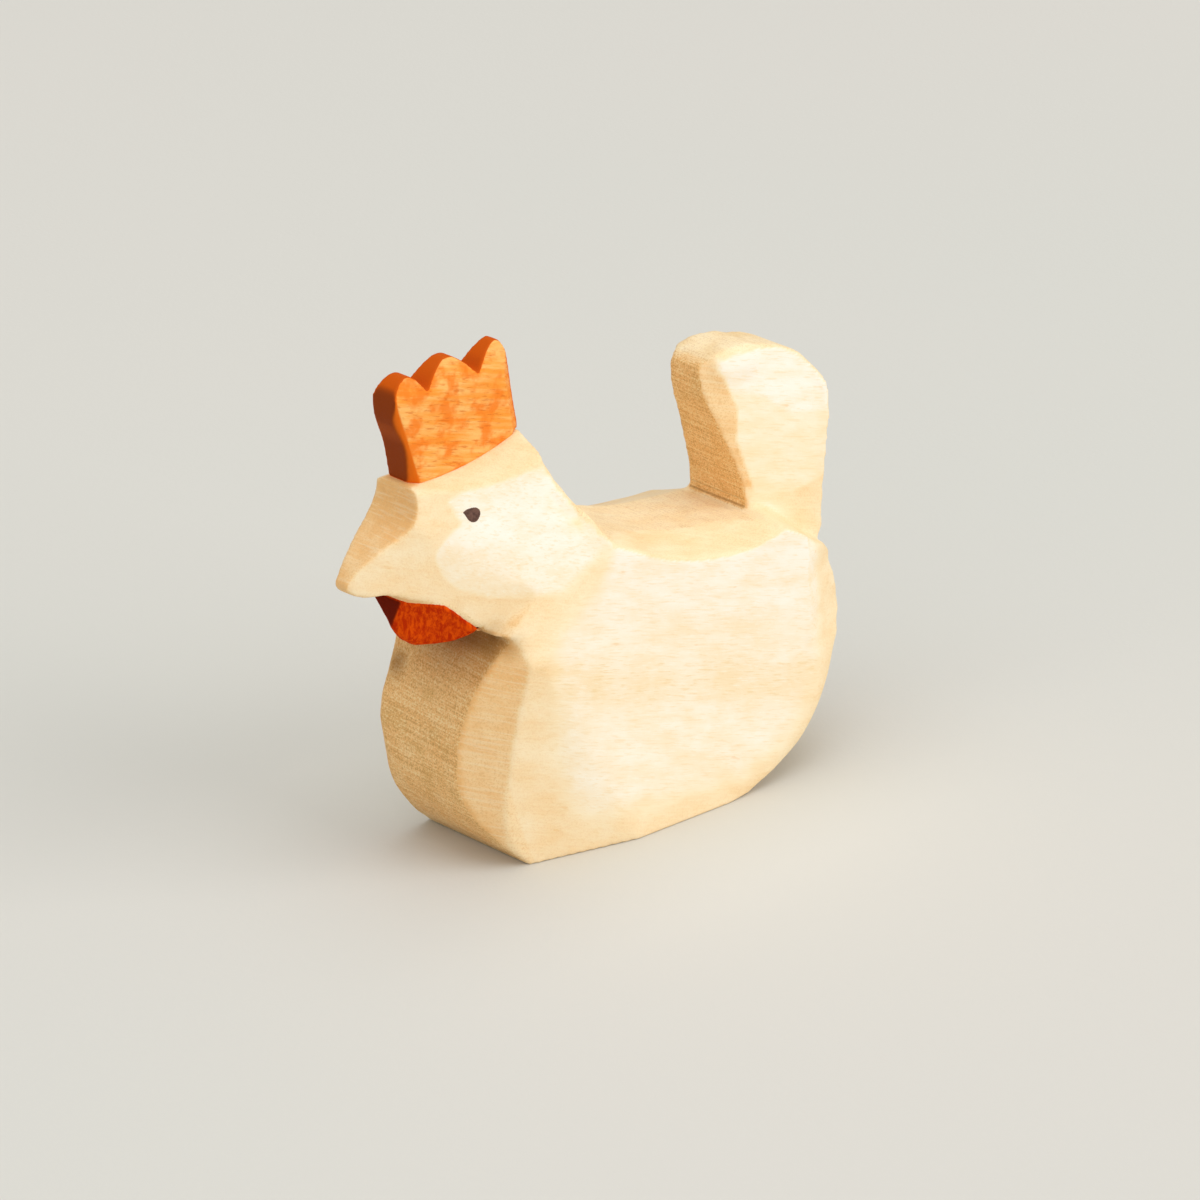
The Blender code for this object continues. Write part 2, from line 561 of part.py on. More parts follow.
bare_wood = finish("bare_wood", (0.87, 0.71, 0.48), 0.55)
comb_stain = finish("comb_stain", (0.90, 0.27, 0.04), 0.50)
wattle_stain = finish("wattle_stain", (0.62, 0.10, 0.01), 0.50)
burnt_dot = finish("burnt_dot", (0.09, 0.035, 0.02), 0.60)

body = sawn("body", body_outline(), HALF, hen)
carve(body, body_cuts("near") + body_cuts("far") + [eye_pocket("near"), eye_pocket("far")])
body.data.materials.append(bare_wood)

comb = sawn("comb", comb_outline(), HALF, hen)
carve(comb, comb_cuts("near") + comb_cuts("far"))
comb.data.materials.append(comb_stain)

wattle = sawn("wattle", wattle_outline(), HALF, hen)
carve(wattle, wattle_cuts("near") + wattle_cuts("far"))
wattle.data.materials.append(wattle_stain)

for eye_name, eye_side in (("eye_left", "near"), ("eye_right", "far")):
    eye(eye_name, eye_side).data.materials.append(burnt_dot)

for piece in hen.objects:
    piece.data.shade_smooth()
    piece.data.set_sharp_from_angle(angle=math.radians(20.0))
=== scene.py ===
"""A hand-carved wooden hen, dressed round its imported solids: soft edges, grain, saw lines and stain."""

import math

import bpy
import numpy as np
from mathutils import Matrix, Vector
from mathutils.bvhtree import BVHTree


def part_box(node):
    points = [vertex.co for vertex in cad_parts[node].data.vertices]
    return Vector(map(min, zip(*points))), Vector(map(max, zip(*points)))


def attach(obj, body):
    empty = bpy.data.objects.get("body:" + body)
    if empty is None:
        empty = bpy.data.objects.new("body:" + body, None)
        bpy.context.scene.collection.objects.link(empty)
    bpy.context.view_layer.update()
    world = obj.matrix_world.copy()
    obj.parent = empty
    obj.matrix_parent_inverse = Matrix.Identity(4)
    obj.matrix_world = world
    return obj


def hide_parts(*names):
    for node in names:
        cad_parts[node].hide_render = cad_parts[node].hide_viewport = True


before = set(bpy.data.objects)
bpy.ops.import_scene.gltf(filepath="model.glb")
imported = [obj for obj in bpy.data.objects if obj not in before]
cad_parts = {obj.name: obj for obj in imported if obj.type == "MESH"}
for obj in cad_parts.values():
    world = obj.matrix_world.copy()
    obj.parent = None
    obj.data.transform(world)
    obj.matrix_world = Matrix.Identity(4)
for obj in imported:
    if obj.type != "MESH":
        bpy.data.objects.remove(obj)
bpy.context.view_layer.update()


# The block. It is pale, close-grained wood, sawn to the side view, cut with a knife and rubbed with fine
# paper, so that each edge between two cuts is a little round. Its grain runs from breast to tail. The faces
# that the saw left stay rougher and drink more oil than the knife-cut ones.

MM = 0.001


def at_corners(piece, what):
    """The place (co) or the direction (normal) at each corner of a piece, as one array."""
    values = np.empty(len(piece.data.vertices) * 3)
    piece.data.vertices.foreach_get(what, values)
    return values.reshape(-1, 3)


def node_shape(node):
    """A solid's corners, in metres, and its faces."""
    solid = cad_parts[node]
    return at_corners(solid, "co"), [tuple(face.vertices) for face in solid.data.polygons]


def sanded(name, shapes, voxel, passes):
    """One closed skin round overlapping shapes, with its edges rubbed round by so many passes."""
    points = np.concatenate([corners for corners, _ in shapes])
    faces, first = [], 0
    for corners, around in shapes:
        faces += [tuple(first + index for index in face) for face in around]
        first += len(corners)
    mesh = bpy.data.meshes.new(name)
    mesh.from_pydata(points.tolist(), [], faces)
    piece = bpy.data.objects.new(name, mesh)
    bpy.context.scene.collection.objects.link(piece)
    remesh = piece.modifiers.new("skin", "REMESH")
    remesh.mode = "VOXEL"
    remesh.voxel_size = voxel
    rub = piece.modifiers.new("rub", "SMOOTH")
    rub.factor = 0.5
    rub.iterations = passes
    evaluated = piece.evaluated_get(bpy.context.evaluated_depsgraph_get())
    skin = bpy.data.meshes.new_from_object(evaluated)
    piece.modifiers.clear()
    piece.data = skin
    skin.name = name
    skin.shade_smooth()
    return piece


def set_corners(piece, points):
    piece.data.vertices.foreach_set("co", points.ravel())
    piece.data.update()


def edge_ends(piece):
    """The two corners of each edge, for the rubbing below."""
    ends = np.empty(len(piece.data.edges) * 2, dtype=np.int32)
    piece.data.edges.foreach_get("vertices", ends)
    return ends.reshape(-1, 2)


def rubbed(values, ends, passes, weight=1.0):
    """Each corner's value drawn halfway to the mean of its neighbours, so many times over."""
    total = len(values)
    here, there = ends.T
    count = np.bincount(ends.ravel(), minlength=total)
    flat = values.reshape(total, -1).copy()
    for _ in range(passes):
        for column in range(flat.shape[1]):
            line = flat[:, column]
            around = np.bincount(here, line[there], total) + np.bincount(there, line[here], total)
            flat[:, column] += 0.5 * weight * (around / count - line)
    return flat.reshape(values.shape)


def even_normals(piece, ends):
    """The direction that each corner faces, evened out a little with its neighbours."""
    return rubbed(at_corners(piece, "normal"), ends, 2)


def eased(values, low, high):
    """0 at low, 1 at high, smooth in between."""
    t = np.clip((values - low) / (high - low), 0.0, 1.0)
    return t * t * (3 - 2 * t)


def inside(values, low, high, soft):
    """1 from low to high, falling smoothly to 0 over the distance soft on both sides."""
    return eased(values, low - soft, low) * (1 - eased(values, high, high + soft))


def read_off(table, at):
    """The second number of a table's pairs, read off in between them at the first."""
    return np.interp(at, *zip(*table))


# One skin goes round the block, the lobe of the wattle and two plugs that fill the pockets of the eye dots.
# The lobe is shrunk here, because it gets a skin of its own. Its underside rises to a point at its rear.

BLOCK_VOXEL = 0.34 * MM
BLOCK_PASSES = 6
LOBE_TOP = 31.8
LOBE_SHRINK = 0.22
LOBE_LIFT = 1.0 * MM
PLUG_WIDTH = 1.6
PLUG_SINK = 0.04 * MM


def hangs_free(points):
    """0 where the lobe grows out of the chin, 1 where it hangs free."""
    return eased(LOBE_TOP - points[:, 2] / MM, 0.0, 1.5)


def lobe_lift(points):
    """How far the lobe's underside rises toward the tip at its rear."""
    x, _, z = (points / MM).T
    return LOBE_LIFT * eased(x, -25.5, -20.8) ** 2 * eased(31.6 - z, 0.0, 1.6)


def eye_plug(node):
    """An eye dot's solid, grown within the cheek's plane and sunk."""
    points, faces = node_shape(node)
    middle = (points.min(axis=0) + points.max(axis=0)) / 2
    _, _, axes = np.linalg.svd(points - points.mean(axis=0))
    outward = axes[2] * np.sign(axes[2][1] * middle[1])
    offset = points - middle
    depth = (offset @ outward)[:, None]
    flat = offset - depth * outward
    return middle + PLUG_WIDTH * flat + (depth - PLUG_SINK) * outward, faces


lobe, lobe_faces = node_shape("wattle")
lobe_middle = lobe.mean(axis=0) + (0.0, 0.0, 1.5 * MM)
lobe = lobe + LOBE_SHRINK * hangs_free(lobe)[:, None] * (lobe_middle - lobe)
lobe[:, 2] += lobe_lift(lobe)
body_shapes = [node_shape("body"), (lobe, lobe_faces), eye_plug("eye_left"), eye_plug("eye_right")]
body = sanded("carved_body", body_shapes, BLOCK_VOXEL, BLOCK_PASSES)
ends = edge_ends(body)
spots = at_corners(body, "co")

# The paper went further over the places that a hand holds. The underside stays flat up to the heel, and
# the corner where tail and rump meet is filled a little. From here on, x, y and z are the skin's first
# places in millimetres.

SOLE = 0.25
PAPER_PASSES = 110
TAIL_ROOT = 27.8
TAIL_ROOT_REACH = 3.0
TAIL_ROOT_FILL = 0.6 * MM

x, y, z = (spots / MM).T
under = z < SOLE
belly = inside(x, -12.5, 9.0, 2.0) * inside(z, 3.0, 27.0, 2.0) * eased(-y, 7.0, 9.0)
cheek = inside(x, -26.0, -9.0, 1.5) * inside(z, 37.5, 46.5, 1.0) * eased(np.abs(y), 3.5, 4.5)
rump = eased(x, 22.0, 25.0) * inside(z, 4.5, 16.0, 2.0)
heel = inside(x, 17.0, 27.0, 4.0) * (1 - eased(z, 1.5, 5.0))
nape = inside(x, -12.0, -1.0, 2.0) * inside(z, 41.0, 49.0, 1.5)
breast = inside(x, -27.0, -15.0, 2.0) * inside(z, 6.0, 24.0, 5.0) * eased(y, 4.0, 7.0)
softened = np.clip(belly + cheek + rump + 0.3 * heel + 0.3 * nape + 0.5 * breast, 0.0, 1.0)
held_flat = under * (1 - eased(x, 13.0, 19.0))
spots = rubbed(spots, ends, PAPER_PASSES, softened * (1 - held_flat))
tail_root = np.exp(-((z - TAIL_ROOT) / TAIL_ROOT_REACH) ** 2) * eased(x, 27.0, 32.0)
spots[:, 0] += TAIL_ROOT_FILL * tail_root
set_corners(body, spots)

# How far the knife left the rear, the back of the neck and the far side of the breast outside the sawn
# shape, or cut into it: pairs of a height and a push along the surface, both in millimetres.

REAR_SWELL = (
    (1.0, 0.8), (4.0, 1.35), (8.0, 1.5), (10.0, 1.45), (13.0, 1.25), (15.0, 1.05), (17.0, 0.65),
    (19.0, 0.35), (22.0, 0.25), (24.0, 0.0), (26.0, -0.3), (28.3, 0.0), (29.5, -0.35), (31.0, -0.25),
    (34.0, 0.0), (37.0, 0.4), (40.0, 0.35), (43.0, 0.2), (46.0, 0.5), (49.0, 0.0),
)
NECK_SWELL = (
    (36.0, 0.0), (39.0, 0.3), (41.0, 0.7), (43.7, 0.8), (45.5, 0.8), (46.2, 0.65), (47.0, 0.4), (47.8, 0.2),
    (48.7, 0.0), (49.5, -0.3), (51.5, -0.5), (53.0, -0.3),
)
BREAST_SWELL = (
    (0.0, 0.0), (5.0, 0.2), (8.0, 0.1), (11.0, 0.0), (14.0, 0.15), (16.0, 0.35), (19.0, 0.1), (21.0, -0.3),
    (24.5, -1.15), (30.0, -1.0),
)
TAIL_BROW_SWELL = 0.5
SWELL_PASSES = 6
RUMP_PASSES = 130

across = even_normals(body, ends)
rear = read_off(REAR_SWELL, z) * eased(x, 20.0, 26.0) * eased(across[:, 0], 0.1, 0.6)
far_breast = eased(-x, 12.0, 18.0) * eased(y, 3.0, 8.0)
front = read_off(BREAST_SWELL, z) * far_breast * eased(-across[:, 0], 0.1, 0.6)
tail_brow = TAIL_BROW_SWELL * inside(x, 19.5, 24.5, 2.0) * eased(z, 49.0, 51.5)
neck = read_off(NECK_SWELL, z) * inside(x, -14.0, 0.0, 2.0) * eased(across[:, 0], 0.1, 0.5)
swell = rubbed(rear + front + tail_brow + neck, ends, SWELL_PASSES)
spots = spots + across * (swell * MM * ~under)[:, None]
rump_curve = eased(x, 20.0, 26.0) * inside(z, 3.0, 13.0, 2.5)
spots = rubbed(spots, ends, RUMP_PASSES, rump_curve * ~under)
set_corners(body, spots)

# Outlines in side view, x and z in millimetres, of the flats that the last, broad knife cuts left. They
# cut along the fibres, drank little oil and stayed the palest, apart from the one low on the breast.

CHEEK_CUT = [
    (-19.8, 48.8), (-22.6, 47.9), (-24.4, 47.2), (-23.7, 45.8), (-23.0, 44.6), (-24.7, 43.6), (-26.2, 42.3),
    (-26.6, 41.0), (-26.0, 39.2), (-24.2, 37.0), (-20.6, 35.3), (-17.0, 34.9), (-12.4, 34.5), (-9.5, 36.3),
    (-6.9, 38.1), (-4.0, 40.0), (-8.0, 49.0), (-12.6, 52.0),
]
FLANK_CUT = [
    (-13.6, 29.6), (-13.7, 23.0), (-13.1, 18.9), (-12.4, 14.8), (-11.6, 10.6), (-10.7, 7.7), (-7.8, 5.4),
    (-5.1, 4.7), (-0.7, 4.3), (5.8, 3.7), (16.0, 2.8), (24.0, 6.0), (28.5, 12.0), (29.5, 20.0), (29.0, 28.0),
    (26.0, 33.5), (12.0, 36.0), (0.0, 40.0), (-4.4, 38.3), (-7.1, 33.0),
]
TAIL_CUT = [
    (18.0, 53.5), (20.0, 50.6), (22.1, 46.3), (21.6, 42.5), (23.4, 37.1), (24.0, 35.4), (30.0, 34.0),
    (36.5, 35.0), (38.0, 43.0), (36.0, 51.0), (30.0, 54.5),
]
LOW_BEVEL = [
    (-21.0, 15.4), (-19.2, 15.0), (-18.5, 10.9), (-17.4, 8.0), (-16.2, 4.7), (-14.9, 1.5), (-13.6, -1.0),
    (-24.0, -1.0),
]
TAIL_RIDGE = ((21.8, 48.4), (26.3, 46.8), (30.0, 44.1), (36.3, 42.6))
CRISP = 0.7
GRAIN_SLOPE = 0.285
SQUARE_CUT = 0.04


def within(across, up, outline, soft):
    """1 inside a closed outline in side view, 0 outside it, with a soft border. All in millimetres."""
    spot = np.stack([across, up], axis=1)
    nearest = np.full(len(spot), np.inf)
    odd = np.zeros(len(spot), dtype=bool)
    for start, end in zip(outline, outline[1:] + outline[:1]):
        start, step = np.array(start), np.subtract(end, start)
        along = np.clip((spot - start) @ step / (step @ step), 0.0, 1.0)
        nearest = np.minimum(nearest, np.linalg.norm(spot - start - along[:, None] * step, axis=1))
        crosses = (start[1] > up) != (end[1] > up)
        rise = np.where(crosses, up - start[1], 0.0) / (step[1] if step[1] else 1.0)
        odd ^= crosses & (across < start[0] + rise * step[0])
    return eased(np.where(odd, nearest, -nearest), -0.5 * soft, 0.5 * soft)


def nearest_facing(points, node):
    """For each point, the direction that the node's nearest flat faces."""
    corners, faces = node_shape(node)
    tree = BVHTree.FromPolygons(corners.tolist(), faces)
    return np.array([tree.find_nearest(Vector(point))[1] for point in points])


across = even_normals(body, ends)
facing = nearest_facing(spots, "body")
square = np.abs(facing[:, 1]) < SQUARE_CUT
comb_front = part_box("comb")[0][0] / MM
beak_top = (x < comb_front + 3.0) & (z > 33.0)
tail_flat = (x > 21.6) & (z < 36.6) & (np.abs(y) > 4.6)
saw_left = square & ~beak_top & ~tail_flat & ~under

# How much oil the wood drank, from 0 on a cut along the fibres to 1 on one straight across them.

KNIFE_CUT_OIL = 0.54
FACING_UP_OIL = 0.58
LOW_BEVEL_OIL = 0.70
SADDLE_EDGE_OIL = 0.84
BROW_OIL = 0.92
TAIL_FOOT_OIL = 0.36
TAIL_PALER = 0.10
LAST_CUT_PALER = 0.22
REAR_END_GRAIN = 0.75

cheek_cut = within(x, z, CHEEK_CUT, 0.8 + 2.2 * eased(x, -18.0, -11.0))
tail_cut = within(x, z, TAIL_CUT, CRISP)
last_cuts = cheek_cut + 0.8 * within(x, z, FLANK_CUT, 5.0) + tail_cut
upper_flank = within(x, z, FLANK_CUT, 3.0) * eased(z + GRAIN_SLOPE * x, 26.0, 31.5)
below_ridge = eased(read_off(TAIL_RIDGE, x) - z, -0.4, 0.4)
end_grain = np.abs(across[:, 0]) * np.where(across[:, 0] > 0, REAR_END_GRAIN, 1.0)
brow = rubbed((beak_top & square).astype(float), ends, 2)
saddle_edge = inside(x, 12.0, 24.0, 0.5) * eased(z, 35.5, 36.5)
drank = KNIFE_CUT_OIL * (1 - np.clip(last_cuts, 0.0, 1.0)) - LAST_CUT_PALER * cheek_cut
drank -= LAST_CUT_PALER * upper_flank
drank += tail_cut * (TAIL_FOOT_OIL * below_ridge - TAIL_PALER)
drank = np.maximum(drank, eased(end_grain, 0.22, 0.82) ** 0.8)
drank = np.maximum(drank, FACING_UP_OIL * eased(across[:, 2], 0.28, 0.46))
drank = np.maximum(drank, LOW_BEVEL_OIL * within(x, z, LOW_BEVEL, CRISP) * (y < 0))
drank = drank * (1 - brow) + brow * (BROW_OIL + (1 - BROW_OIL) * eased(z, 44.5, 45.0))
drank = np.maximum(drank, SADDLE_EDGE_OIL * saddle_edge * (1 - tail_cut))

# Painted shade under the wattle: dark close under it and fainter farther off, and a few painted shadow
# spots in the throat notch and on the breast, each a place and a radius in millimetres and a strength.

THROAT_NEAR, THROAT_FAR = 2.4, 4.8
THROAT_FAR_STRENGTH = 0.62
SHADE_SPOTS = (
    (-21.0, -3.0, 26.9, 2.0, 0.5),
    (-22.5, 8.0, 23.4, 2.0, 1.0),
    (-19.4, -6.4, 30.0, 1.8, 1.0),
    (-18.6, -8.0, 29.3, 1.5, 1.0),
)

# Painted shade: darkest next to the wattle and only below it, on faces that turn neither back nor sideways.
wattle_box = np.array(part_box("wattle")) / MM
outside = np.maximum(np.maximum(wattle_box[0] - spots / MM, spots / MM - wattle_box[1]), 0.0)
gap = np.linalg.norm(outside, axis=1)
beneath = eased(30.7 - z, 0.0, 0.7) * (across[:, 0] < 0.2) * (1 - eased(np.abs(across[:, 1]), 0.3, 0.55))
close_by = np.exp(-((gap / THROAT_NEAR) ** 2))
farther_off = THROAT_FAR_STRENGTH * np.exp(-((gap / THROAT_FAR) ** 2))
throat = np.maximum(close_by, farther_off) * beneath
for *middle, radius, strength in SHADE_SPOTS:
    spread = np.exp(-np.square((spots / MM - middle) / radius).sum(axis=1))
    throat = np.maximum(throat, strength * spread)

# Painted shade in the crease at the tail's foot: two thin dark lines on the sawn faces there.

FOOT_X, FOOT_Z = 22.4, 33.7
FOOT_REACH = 1.6

from_foot = (x - FOOT_X) ** 2 + (z - FOOT_Z) ** 2
stop_cut = np.exp(-(from_foot / FOOT_REACH**2)) * (1 - eased(np.abs(y), 5.0, 6.0))

# Last, the skin gets the gentle unevenness that a knife leaves, and is drawn in by a little more than
# that, so that no wave stands out of the block.

KNIFE_WAVES = (9 * MM, 6 * MM, 13 * MM, 4.5 * MM)
KNIFE_DEPTH = 0.06 * MM
KNIFE_SEED = 5
DRAWN_IN = 0.07 * MM


def store(piece, name, values):
    """Keeps one number at each corner of a piece, for its finish to read."""
    kept = piece.data.attributes.new(name, "FLOAT", "POINT")
    kept.data.foreach_set("value", values.astype(np.float32))


def ripple(points, lengths, depth, seed):
    """A few crossing waves of these lengths, each in a direction of its own."""
    draw = np.random.default_rng(seed)
    total = np.zeros(len(points))
    for length in lengths:
        direction = draw.normal(size=3)
        direction /= np.linalg.norm(direction)
        total += np.sin(points @ direction * (2 * math.pi / length) + draw.uniform(0, 2 * math.pi))
    return total * depth / len(lengths)


store(body, "sawn", rubbed(saw_left.astype(float), ends, 3))
store(body, "drank", drank)
store(body, "throat", rubbed(throat, ends, 2))
store(body, "stop_cut", stop_cut)
marks = ripple(spots, KNIFE_WAVES, KNIFE_DEPTH, KNIFE_SEED) * (1 - 0.7 * saw_left)
set_corners(body, spots - across * ((DRAWN_IN - marks) * ~under)[:, None])


class Socket:
    """An output in a finish's node tree. Arithmetic on it adds Math nodes."""

    def __init__(self, tree, output=None):
        self.tree = tree
        self.output = output

    def node(self, kind, settings=(), inputs=(), output=0):
        """A new node of this type: its settings first, then the values or links of its sockets."""
        made = self.tree.nodes.new(kind)
        for name, value in dict(settings).items():
            if name == "stops":
                while len(made.color_ramp.elements) < len(value):
                    made.color_ramp.elements.new(0.5)
                for element, (place, colour) in zip(made.color_ramp.elements, value):
                    element.position = place
                    element.color = (*colour, 1.0)
            else:
                setattr(made, name, value)
        for name, value in dict(inputs).items():
            if isinstance(value, Socket):
                self.tree.links.new(value.output, made.inputs[name])
            else:
                made.inputs[name].default_value = value
        return Socket(self.tree, made.outputs[output] if made.outputs else None)

    def math(self, operation, *values):
        return self.node("ShaderNodeMath", {"operation": operation}, enumerate(values))

    def __add__(self, other):
        return self.math("ADD", self, other)

    def __sub__(self, other):
        return self.math("SUBTRACT", self, other)

    def __mul__(self, other):
        return self.math("MULTIPLY", self, other)

    def __rsub__(self, other):
        return self.math("SUBTRACT", other, self)

    __radd__ = __add__
    __rmul__ = __mul__

    def size(self):
        """The value without its sign."""
        return self.math("ABSOLUTE", self)

    def between(self, low, high):
        """0 below low, 1 above high, smooth in between."""
        inputs = {"Value": self, "From Min": low, "From Max": high}
        return self.node("ShaderNodeMapRange", {"interpolation_type": "SMOOTHSTEP"}, inputs)

    def ramp(self, stops):
        return self.node("ShaderNodeValToRGB", {"stops": stops}, {"Fac": self})

    def tint(self, first, second):
        """From the colour first to the colour second as this value goes from 0 to 1."""
        colours = {6: first, 7: second}
        for place, colour in colours.items():
            if not isinstance(colour, Socket):
                colours[place] = (*colour, 1.0)
        return self.node("ShaderNodeMix", {"data_type": "RGBA"}, {0: self, **colours}, output=2)

    def turned(self, axis, angle):
        """This place, turned round an axis through the origin."""
        inputs = {"Vector": self, "Angle": angle}
        return self.node("ShaderNodeVectorRotate", {"rotation_type": axis}, inputs)

    def height(self):
        return self.node("ShaderNodeSeparateXYZ", (), {"Vector": self}, output=2)

    def noise(self, waves, detail=3.0, roughness=0.5, distortion=0.0):
        """Noise over a place in millimetres, with so many waves per millimetre along each axis."""
        inputs = {
            "Vector": self.node("ShaderNodeVectorMath", {"operation": "MULTIPLY"}, {0: self, 1: waves}),
            "Scale": 1.0,
            "Detail": detail,
            "Roughness": roughness,
            "Distortion": distortion,
        }
        return self.node("ShaderNodeTexNoise", {"noise_dimensions": "3D"}, inputs)

    def attribute(self, name):
        return self.node("ShaderNodeAttribute", {"attribute_name": name}, output=2)


def new_finish(name):
    """An empty material: (material, its first socket, the place in millimetres)."""
    material = bpy.data.materials.new(name)
    material.use_nodes = True
    material.node_tree.nodes.clear()
    start = Socket(material.node_tree)
    place = start.node("ShaderNodeTexCoord", output=3)
    place = place.node("ShaderNodeVectorMath", {"operation": "SCALE"}, {0: place, "Scale": 1 / MM})
    return material, start, place


def surface(start, colour, roughness, height, relief, specular):
    """Closes a finish with one Principled shader. A height from 0 to 1 stands up by the relief."""
    bump = start.node("ShaderNodeBump", (), {"Height": height, "Distance": relief, "Strength": 1.0})
    inputs = {"Base Color": colour, "Roughness": roughness, "Normal": bump, "Specular IOR Level": specular}
    shader = start.node("ShaderNodeBsdfPrincipled", (), inputs)
    start.node("ShaderNodeOutputMaterial", (), {"Surface": shader})


# The bare wood. Two scales of colour, for the wood at its palest and at its deepest, run from a cut along
# the fibres to one straight across them. Knife cuts across the fibres are torn and shaved, and the sawn
# faces carry the lines of the blade and damp patches.

PALE_WOOD = (
    (0.0, (0.99, 0.93, 0.81)),
    (0.38, (0.99, 0.85, 0.60)),
    (0.72, (0.98, 0.76, 0.45)),
    (1.0, (0.93, 0.57, 0.235)),
)
DEEP_WOOD = (
    (0.0, (0.96, 0.78, 0.52)),
    (0.38, (0.96, 0.74, 0.44)),
    (0.72, (0.94, 0.64, 0.32)),
    (1.0, (0.87, 0.46, 0.155)),
)
DARK_FIBRE = (0.90, 0.67, 0.34)
KNOT_BROWN = (0.90, 0.60, 0.28)
TORN_BROWN = (0.78, 0.45, 0.18)
SHAVED_PALE = (1.0, 0.86, 0.60)
SHAVED_DARK = (0.86, 0.50, 0.20)
DAMP_BROWN = (0.66, 0.38, 0.11)
BLADE_DARK = (0.58, 0.31, 0.09)
BLADE_PALE = (1.0, 0.84, 0.47)
# Painted shade under the wattle and in the throat notch.
THROAT_SHADE_BROWN = (0.22, 0.09, 0.012)
# Painted shade in the crease at the tail's foot.
FOOT_SHADE_BROWN = (0.42, 0.22, 0.07)
GRAIN_TILT = math.radians(-15.9)
BLADE_TILT = math.radians(-3.7)

bare_wood, start, place = new_finish("bare_wood")
sawn = start.attribute("sawn").between(0.35, 0.65)
drank = start.attribute("drank")
grain = place.turned("Y_AXIS", GRAIN_TILT)
streaks = grain.noise((0.05, 0.7, 0.7), detail=4.0, roughness=0.6)
fibres = grain.noise((0.42, 4.2, 4.2), detail=3.0, roughness=0.6)
clouds = grain.noise((0.05, 0.09, 0.13), detail=3.0, roughness=0.55)
mottle = grain.noise((0.20, 0.38, 0.45), detail=4.0, roughness=0.6)
knots = grain.noise((0.28, 0.9, 0.9), detail=2.0).between(0.70, 0.78)
shavings = grain.noise((0.05, 0.22, 2.8), detail=3.0, roughness=0.6)
grit = place.noise((4.5, 4.5, 4.5), detail=2.0, roughness=0.6)
damp = place.noise((0.22, 0.22, 0.22), detail=3.0).between(0.5, 0.66)
blade_lines = place.turned("X_AXIS", BLADE_TILT).noise((4.2, 0.05, 4.2), detail=2.0, roughness=0.7)
cross_lines = place.noise((0.5, 4.4, 0.15), detail=2.0, roughness=0.7)

rise = grain.height()
ring = (rise - 16.0).between(0.0, 2.0) * (23.0 - rise).between(0.0, 2.5)
depth = drank + (mottle - 0.5) * 0.28
calm = (depth + 0.28).between(0.0, 0.36)
pale = depth.ramp(PALE_WOOD)
deep = depth.ramp(DEEP_WOOD)
tone = clouds.between(0.38, 0.62) * 0.34 + mottle.between(0.36, 0.66) * 0.34
tone = tone + streaks.between(0.36, 0.66) * 0.2 + ring * 0.38
oiled = (tone * (0.35 + 0.65 * calm)).tint(pale, deep)
oiled = (fibres.between(0.53, 0.67) * (0.38 + ring * 0.3)).tint(oiled, DARK_FIBRE)
oiled = ((0.44 - fibres).between(0.0, 0.12) * 0.5).tint(oiled, pale)
oiled = (knots * 0.5).tint(oiled, KNOT_BROWN)

rough_cut = (depth - 0.3).between(0.0, 0.6) * (1.0 - sawn)
torn = rough_cut * (0.5 - grit).between(0.0, 0.12)
raised = rough_cut * (shavings - 0.5).between(-0.02, 0.16)
hollow = rough_cut * (0.5 - shavings).between(0.0, 0.14)
oiled = (torn * 0.45).tint(oiled, TORN_BROWN)
oiled = (raised * (0.08 + 0.3 * mottle)).tint(oiled, SHAVED_PALE)
oiled = (hollow * 0.16).tint(oiled, SHAVED_DARK)

blade = blade_lines * 0.36 + cross_lines * 0.10 + grit * 0.54
dark_lines = sawn * (0.5 - blade).between(0.0, 0.10)
pale_lines = sawn * (blade - 0.5).between(0.01, 0.10)
wood_colour = (sawn * damp * drank * 0.35).tint(oiled, DAMP_BROWN)
wood_colour = (dark_lines * (0.05 + 0.72 * drank * drank)).tint(wood_colour, BLADE_DARK)
wood_colour = (pale_lines * (0.2 + 0.35 * drank)).tint(wood_colour, BLADE_PALE)
# Painted shade under the wattle and in the throat notch, drawn toward a deep brown.
wood_colour = (start.attribute("throat") * 0.95).tint(wood_colour, THROAT_SHADE_BROWN)
# Painted shade: two thin dark lines in the crease at the tail's foot, only on the sawn faces.
climb = place.height() - FOOT_Z
foot_shade_lines = (0.20 - (climb - 0.25).size()).between(0.0, 0.15)
foot_shade_lines = foot_shade_lines + (0.16 - (climb - 1.1).size()).between(0.0, 0.12) * 0.7
wood_colour = (start.attribute("stop_cut") * foot_shade_lines * sawn * 0.7).tint(wood_colour, FOOT_SHADE_BROWN)

wood_roughness = 0.55 + 0.12 * sawn + 0.06 * grit
wood_height = fibres * 0.25 + grit * 0.12 + sawn * blade * 0.4
surface(start, wood_colour, wood_roughness, wood_height, relief=0.08 * MM, specular=0.2)
body.data.materials.append(bare_wood)
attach(body, "root")
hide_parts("body")


# The comb. It is the top of the same block, sawn to three prongs, thinned with two flat cuts and brushed
# with orange water stain, which leaves the grain open, gathers in the fibres and runs darker on the sawn
# edges.

COMB_ROOT = (0.0, 0.0, -0.5 * MM)
COMB_VOXEL = 0.2 * MM
COMB_PASSES = 7
ORANGE = (0.97, 0.34, 0.045)
THIN_ORANGE = (0.99, 0.52, 0.155)
BLOT_ORANGE = (0.93, 0.21, 0.014)
FIBRE_RED = (0.68, 0.14, 0.012)
EDGE_ORANGE = (0.86, 0.17, 0.008)
NOTCH_RED = (0.64, 0.10, 0.003)
FRONT_BROWN = (0.27, 0.045, 0.005)
REAR_RED = (0.70, 0.095, 0.008)


